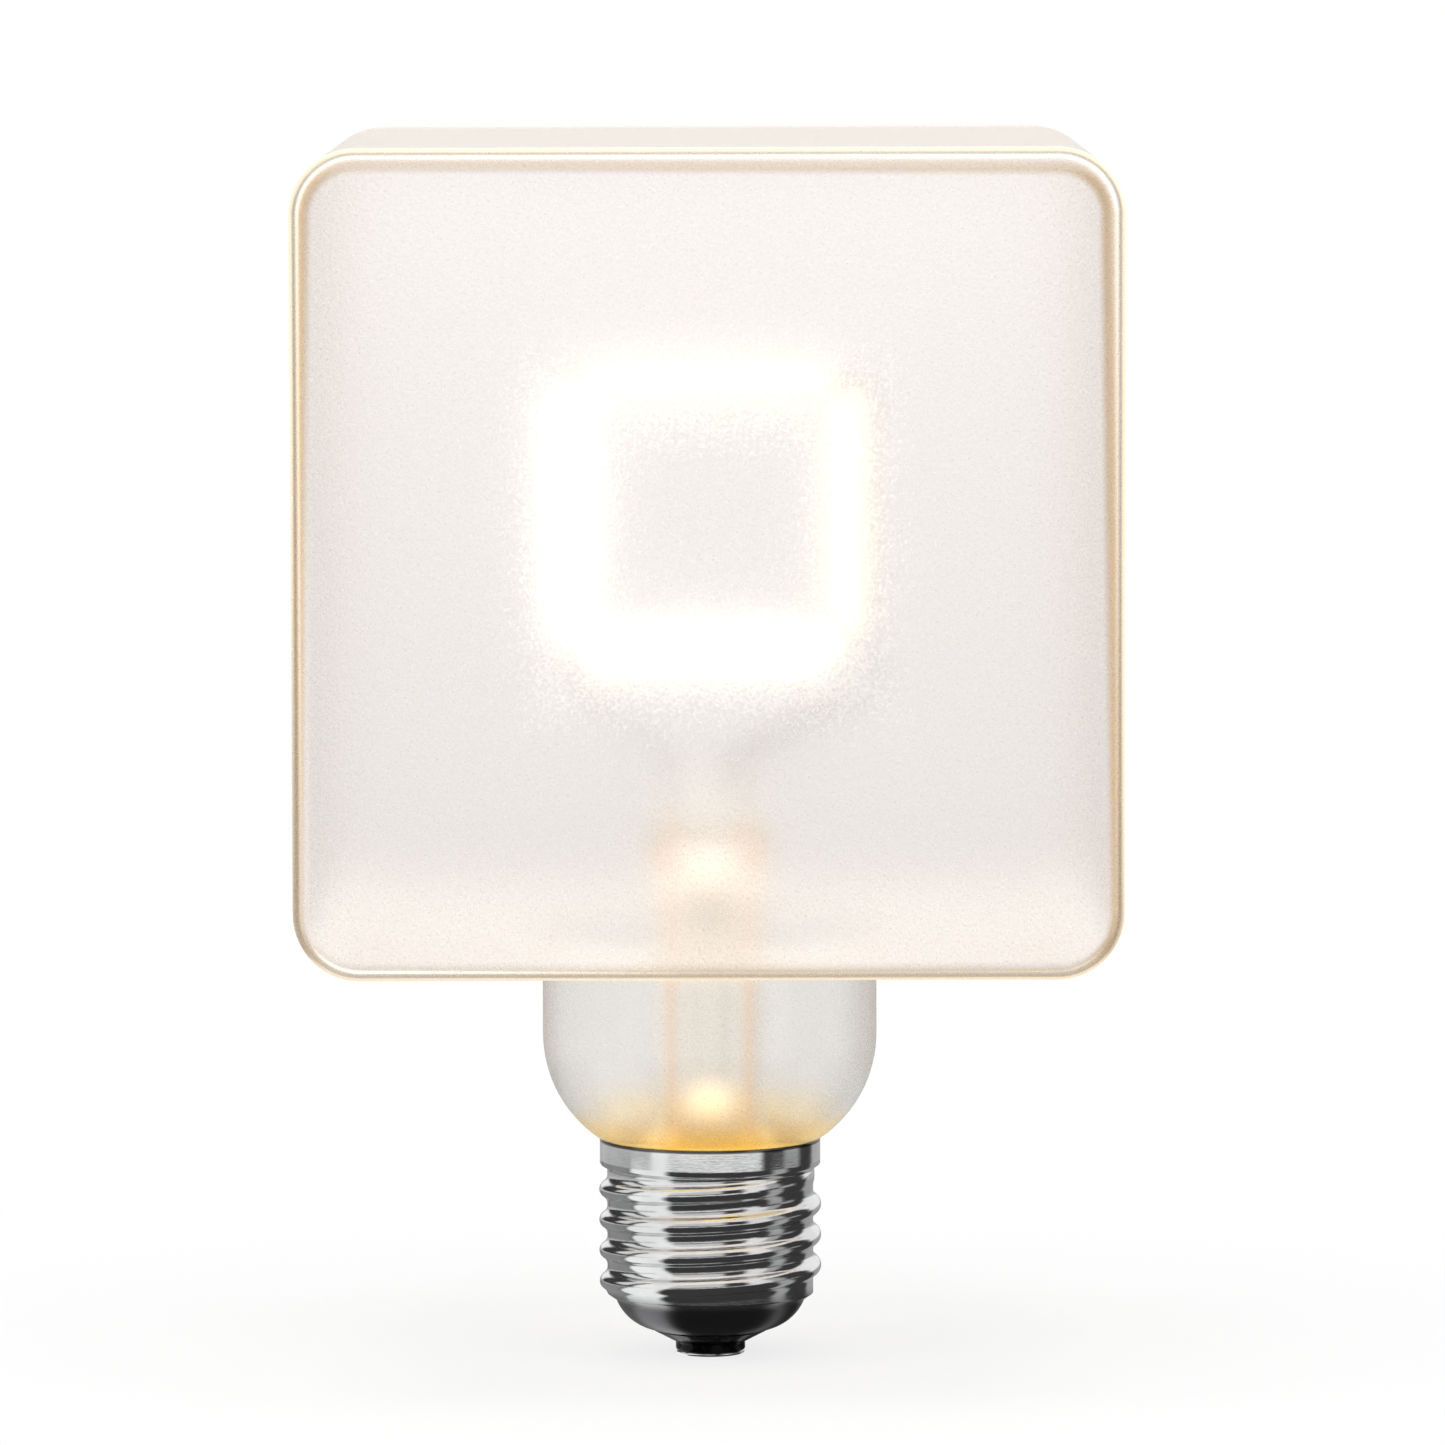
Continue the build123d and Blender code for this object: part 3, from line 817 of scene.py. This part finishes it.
def contactMetal():
    look = Finish("contactMetal")
    rub = look.noise(1400, 4.0, 0.6)
    return look.shader(
        {
            "Base Color": look.patches(rub, (0.4, 0.7), base["contactMetal"]),
            "Metallic": 1.0,
            "Roughness": look.uneven(rub, 0.18, 0.35),
            "Normal": look.bump(rub, 0.1, 0.0001),
        }
    )


# Stem: flare, tube and flattened press, with the exhaust tube inside it

stem = {
    "radius": 6.75,
    "wall": 1.1,
    "flare": 4.25,            # radius of the flare's curve
    "pressBottom": 57.0,
    "pressFlat": 63.0,
    "pressThick": 4.4,
    "squeeze": 1.6,           # the higher, the flatter the press's faces
    "edge": 0.8,
    "domeRadius": 2.5,        # of the hollow's upper end
    "domeHeight": 2.0,
    "domeRows": (0.25, 0.5, 0.75, 0.9),
    "flareSteps": 10,
    "tubeSteps": 8,
    "pressSteps": 10,
    "edgeSteps": 5,
    "around": 72,
}


def pressRing(form, radius, height, thick):
    # a circle squeezed between two flat faces
    limit = thick / 2
    ring = []
    for angle in turns(stem["around"]):
        y = radius * math.sin(angle)
        if limit < radius:
            y = limit * math.tanh(y / limit * stem["squeeze"]) / math.tanh(stem["squeeze"])
        ring.append((radius * math.cos(angle), max(-limit, min(limit, y)), height))
    return form.ring(ring)


def stemTube(form, centre, flare, radius):
    # rings of the flare and of the round tube up to the press
    rings = []
    for reach, height in arc(centre, flare, 270, 180, stem["flareSteps"]):
        rings.append(pressRing(form, reach, height, 2 * reach))
    for step in range(1, stem["tubeSteps"] + 1):
        height = centre[1] + (stem["pressBottom"] - centre[1]) * step / stem["tubeSteps"]
        rings.append(pressRing(form, radius, height, 2 * radius))
    return rings


def stemBody():
    low, high = sizeOf("glass_stem")
    radius = stem["radius"]
    centre = (high.x, low.z + stem["wall"] + stem["flare"])
    form = Form()
    rings = stemTube(form, centre, stem["flare"], radius)
    for step in range(1, stem["pressSteps"] + 1):
        part = step / stem["pressSteps"]
        height = stem["pressBottom"] + (stem["pressFlat"] - stem["pressBottom"]) * part
        thick = 2 * radius + (stem["pressThick"] - 2 * radius) * softStep(part, 0, 1)
        rings.append(pressRing(form, radius, height, thick))
    edge = stem["edge"]
    for step in range(stem["edgeSteps"] + 1):
        angle = math.radians(90 * step / stem["edgeSteps"])
        shrink = edge * (1 - math.cos(angle))
        height = high.z - edge + edge * math.sin(angle)
        rings.append(pressRing(form, radius - shrink, height, stem["pressThick"] - 2 * shrink))
    form.skins(rings)
    form.cap(rings[-1])
    inner = radius - stem["wall"]
    hollow = stemTube(form, centre, stem["flare"] + stem["wall"], inner)
    for part in stem["domeRows"]:
        reach = stem["domeRadius"] + (inner - stem["domeRadius"]) * math.sqrt(1 - part**2)
        hollow.append(pressRing(form, reach, stem["pressBottom"] + stem["domeHeight"] * part, 2 * reach))
    form.skins(hollow)
    form.cap(hollow[-1])
    form.skin(rings[0], hollow[0])
    form.piece("stemGlass", clearGlass("stemGlass"), ["glass_stem"])


exhaust = {
    "wall": 0.6,
    "tip": -88,               # degrees, just short of the axis; a flat face closes the rest
    "tipSteps": 8,
    "rows": (30, 40, 50),
    "innerRow": 40,
    "around": 48,
}


def exhaustBody():
    low, high = sizeOf("exhaust_tube")
    radius = high.x
    inner = radius - exhaust["wall"]
    tip, steps = exhaust["tip"], exhaust["tipSteps"]
    outside = arc((0.0, low.z + radius), radius, tip, 0, steps)
    outside += [(radius, z) for z in (*exhaust["rows"], high.z)]
    inside = [(inner, high.z), (inner, exhaust["innerRow"])]
    inside += arc((0.0, low.z + radius + exhaust["wall"]), inner, 0, tip, steps)
    form = Form()
    rings = form.lathe(outside + inside, turns(exhaust["around"]))
    form.cap(rings[0])
    form.cap(rings[-1])
    form.piece("exhaustTube", clearGlass("exhaustGlass"), ["exhaust_tube"])


guided = {
    # light that the glass carries down from the bars: height and reach in millimetres and share of each
    # spot, colour of the spots, and colour everywhere
    "stemGlass": {
        "spots": ((57.0, 3.2, 0.36), (64.0, 7.0, 0.25), (47.0, 4.0, 0.4)),
        "glow": (0.2, 0.155, 0.095, 1),
        "even": (0.012, 0.01, 0.007, 1),
    },
    "exhaustGlass": {
        "spots": ((57.0, 3.0, 0.35), (29.8, 3.6, 0.5)),
        "glow": (0.36, 0.28, 0.18, 1),
        "even": (0.006, 0.005, 0.003, 1),
    },
}


clearTints = ((0.99, 0.98, 0.96, 1), (0.95, 0.93, 0.9, 1))


def clearGlass(name):
    look = Finish(name)
    seeds = look.noise(500, 2.0)
    light = guided[name]
    glow = 0.0
    for middle, reach, part in light["spots"]:
        near = (look.axis("Z") - middle * mm).size()
        glow = look.ramp(near, 0.0, reach * mm, part, 0.0) + glow
    return look.glowing(
        look.mix(glow, light["even"], light["glow"]),
        1.0,
        {
            "Base Color": look.patches(seeds, (0.6, 0.8), clearTints),
            "Roughness": look.uneven(seeds, 0.02, 0.08),
            "Transmission Weight": 1.0,
            "IOR": glass["bending"],
            "Normal": look.bump(look.noise(90, 2.0, 0.5, (1, 1, 0.3)), 0.2, 0.0006),
        },
    )


# Hidden pieces keep their CAD solids and get their own finishes

finishes = {
    # two colours, metal, roughness, and lumps to the metre
    "steel_wire": ((0.56, 0.54, 0.51, 1), (0.4, 0.38, 0.36, 1), 1.0, 0.32, 1500),
    "copper_wire": ((0.95, 0.55, 0.22, 1), (0.7, 0.36, 0.14, 1), 0.4, 0.4, 1500),
    "tinned_wire": ((0.66, 0.66, 0.66, 1), (0.5, 0.5, 0.5, 1), 1.0, 0.35, 1500),
    "solder": ((0.55, 0.55, 0.56, 1), (0.4, 0.4, 0.41, 1), 1.0, 0.4, 2500),
    "cement": ((0.6, 0.52, 0.4, 1), (0.45, 0.37, 0.27, 1), 0.0, 0.85, 1800),
    "board": ((0.03, 0.16, 0.06, 1), (0.02, 0.1, 0.04, 1), 0.0, 0.35, 900),
    "capacitor_sleeve": ((0.02, 0.02, 0.03, 1), (0.05, 0.05, 0.07, 1), 0.0, 0.3, 700),
    "choke_body": ((0.015, 0.015, 0.015, 1), (0.05, 0.05, 0.05, 1), 0.0, 0.35, 700),
    "resistor_body": ((0.08, 0.2, 0.24, 1), (0.05, 0.13, 0.16, 1), 0.0, 0.4, 1200),
    "chip_body": ((0.02, 0.02, 0.022, 1), (0.04, 0.04, 0.042, 1), 0.0, 0.6, 3000),
    "chip_resistor": ((0.02, 0.02, 0.02, 1), (0.1, 0.1, 0.1, 1), 0.0, 0.4, 3000),
}

glows = {
    "copper_wire": (0.36, 0.2, 0.05, 1),     # light that the copper takes from the bars
}


def speckled(slot):
    first, second, metal, rough, scale = finishes[slot]
    look = Finish(slot + "Finish")
    grain = look.noise(scale, 4.0, 0.6)
    if slot in glows:
        look.glowing(glows[slot], 1.0, {})
    return look.shader(
        {
            "Base Color": look.patches(grain, (0.35, 0.7), (first, second)),
            "Metallic": metal,
            "Roughness": look.uneven(grain, rough - 0.06, rough + 0.08),
            "Normal": look.bump(grain, 0.2, 0.00008),
        }
    )


def dressNodes():
    made = {}
    for part in frame["record"]["subparts"]:
        slot = part["material_slot"]
        if slot not in finishes:
            continue
        if slot not in made:
            made[slot] = speckled(slot)
        node = frame["nodes"][part["node"]]
        node.data.materials.clear()
        node.data.materials.append(made[slot])
    print("hidden pieces dressed:", len(made), "finishes")


# Studio: pale floor, white backdrop, and soft boards that show in metal and glass

studio = {
    "floor": 6.0,
    "floorColour": (0.97, 0.97, 0.97, 1),
    "glow": (0.78, 1.0),       # share of plain white in the floor, close by and far out
    "glowReach": (0.03, 0.15),
    "plain": (0.5, 0.5, 0.5, 1),
    "dark": 0.05,              # light between the boards, and the most that a board has
    "bright": 1.1,
    "bearingBlurs": (4, 4),    # degrees over which a board's left and right ends fade
    "riseBlurs": (0.08, 0.1),
    "floorRise": -0.5,
    "farFloor": (0.145, 0.165),
    "aimHeight": 0.05,
}

boards = {
    # bearing in degrees to the right of the camera, rise of the direction from -1 to 1, and light
    "leftBox": {"bearing": (-88, -44), "rise": (-1.2, 0.95), "light": 1.1},
    "leftFill": {"bearing": (-120, -98), "rise": (0.2, 1.2), "light": 0.85},
    "leftLow": {"bearing": (-150, -92), "rise": (-1.2, -0.4), "light": 0.3},
    "frontLid": {"bearing": (-44, 14), "rise": (0.15, 1.2), "light": 0.7},
    "rightStrip": {"bearing": (40, 66), "rise": (-0.15, 1.2), "light": 0.95},
    "rightFill": {"bearing": (66, 84), "rise": (-1.2, 0.7), "light": 0.45},
    "backRight": {"bearing": (126, 190), "rise": (0.0, 1.2), "light": 1.0},
    "backLeft": {"bearing": (-190, -154), "rise": (0.0, 1.2), "light": 1.0},
    "lowRight": {"bearing": (126, 190), "rise": (-1.2, 0.0), "light": 0.4},
    "lowLeft": {"bearing": (-190, -154), "rise": (-1.2, 0.0), "light": 0.4},
}

farBoards = {
    # what lies far out on the floor
    "tableLeft": {"bearing": (-150, -62), "rise": (-1.2, 1.2), "light": 0.6},
    "table": {"bearing": (-62, 54), "rise": (-1.2, 1.2), "light": 1.08},
    "gap": {"bearing": (82, 104), "rise": (-1.2, 1.2), "light": 0.45},
    "backRight": {"bearing": (130, 190), "rise": (-1.2, 1.2), "light": 0.5},
    "backLeft": {"bearing": (-190, -150), "rise": (-1.2, 1.2), "light": 0.5},
}

panels = {
    # place, size and energy of each soft panel, in metres and watts
    "left": {"place": (-0.75, -0.35, 0.3), "size": (0.35, 0.9), "energy": 3.6},
    "right": {"place": (0.75, -0.4, 0.3), "size": (0.3, 0.9), "energy": 3.0},
    "top": {"place": (0.0, -0.1, 0.95), "size": (0.7, 0.5), "energy": 3.6},
}


def boardLight(look, table, right, back, rise):
    # light of the boards in one direction: right and back are its parts in plan
    bearing = right.math("ARCTAN2", back * -1) * (180 / math.pi)
    light = studio["dark"]
    for board in table.values():
        part = look.between(bearing, board["bearing"], studio["bearingBlurs"])
        if isinstance(rise, Value):
            part = part * look.between(rise, board["rise"], studio["riseBlurs"])
        elif board["rise"][0] > rise:
            continue
        light = part * (board["light"] - studio["dark"]) + light
    return light


def boardShader(look, kind, light):
    # a shader as bright as the boards, mixed from a dark one and the brightest
    dark = look.node(kind, sockets={"Color": white, "Strength": 0.0})
    bright = look.node(kind, sockets={"Color": white, "Strength": studio["bright"]})
    return look.node("ShaderNodeMixShader", sockets={0: light * (1 / studio["bright"]), 1: dark, 2: bright})


def rays(look):
    # 1 for rays that should see the white backdrop, and 1 for rays off metal and glass
    seen = look.node("ShaderNodeLightPath", output="Is Camera Ray")
    through = look.node("ShaderNodeLightPath", output="Is Transmission Ray")
    glossy = look.node("ShaderNodeLightPath", output="Is Glossy Ray")
    return seen.atLeast(through), glossy


def paleFloor():
    look = Finish("paleFloor")
    look.shader({"Base Color": studio["floorColour"], "Roughness": 0.9})
    surface = Value(look, look.tree.nodes["Principled BSDF"].outputs[0])
    seen, glossy = rays(look)
    right = look.axis("X")
    back = look.axis("Y")
    away = (right * right + back * back).root()
    glow = look.ramp(away, *studio["glowReach"], *studio["glow"])
    near = boardLight(look, boards, right, back, studio["floorRise"])
    far = boardLight(look, farBoards, right, back, studio["floorRise"])
    shine = near + (far - near) * look.ramp(away, *studio["farFloor"])
    plain = look.node("ShaderNodeEmission", sockets={"Color": white, "Strength": 1.0})
    shown = boardShader(look, "ShaderNodeEmission", shine)
    pale = look.node("ShaderNodeMixShader", sockets={0: glow * seen, 1: surface, 2: plain})
    mixed = look.node("ShaderNodeMixShader", sockets={0: glossy, 1: pale, 2: shown})
    look.put(look.tree.nodes["Material Output"].inputs["Surface"], mixed)
    return look.owner


def studioFloor():
    reach = studio["floor"]
    mesh = bpy.data.meshes.new("floor")
    corners = [(-reach, -reach, 0), (reach, -reach, 0), (reach, reach, 0), (-reach, reach, 0)]
    mesh.from_pydata(corners, [], [(0, 1, 2, 3)])
    made = bpy.data.objects.new("floor", mesh)
    bpy.context.scene.collection.objects.link(made)
    made.data.materials.append(paleFloor())


def studioWorld():
    world = bpy.data.worlds.new("studio")
    bpy.context.scene.world = world
    world.cycles.sampling_method = "NONE"
    look = Finish("studio", world)
    seen, glossy = rays(look)
    way = look.node("ShaderNodeTexCoord", output="Generated")
    parts = [look.node("ShaderNodeSeparateXYZ", sockets={0: way}, output=name) for name in "XYZ"]
    room = look.node("ShaderNodeBackground", sockets={"Color": studio["plain"], "Strength": 1.0})
    shown = boardShader(look, "ShaderNodeBackground", boardLight(look, boards, *parts))
    plain = look.node("ShaderNodeBackground", sockets={"Color": white, "Strength": 1.0})
    mixed = look.node("ShaderNodeMixShader", sockets={0: glossy, 1: room, 2: shown})
    mixed = look.node("ShaderNodeMixShader", sockets={0: seen, 1: mixed, 2: plain})
    look.put(look.tree.nodes["World Output"].inputs["Surface"], mixed)


def studioLights():
    for name, panel in panels.items():
        lamp = bpy.data.lights.new(name + "Panel", "AREA")
        lamp.shape = "RECTANGLE"
        lamp.size, lamp.size_y = panel["size"]
        lamp.energy = panel["energy"]
        made = bpy.data.objects.new(name + "Panel", lamp)
        made.location = panel["place"]
        made.visible_glossy = False           # the boards show in metal and glass instead
        made.visible_transmission = False
        aim = Vector((0, 0, studio["aimHeight"])) - Vector(panel["place"])
        made.rotation_euler = aim.to_track_quat("-Z", "Y").to_euler()
        bpy.context.scene.collection.objects.link(made)


placeCamera()
glassEnvelope()
print("glass made")
filamentBars()
stemBody()
exhaustBody()
print("stem and filaments made")
shellBody()
insulatorBody()
contactDisc()
print("cap made")
dressNodes()
studioFloor()
studioWorld()
studioLights()
print("studio set")
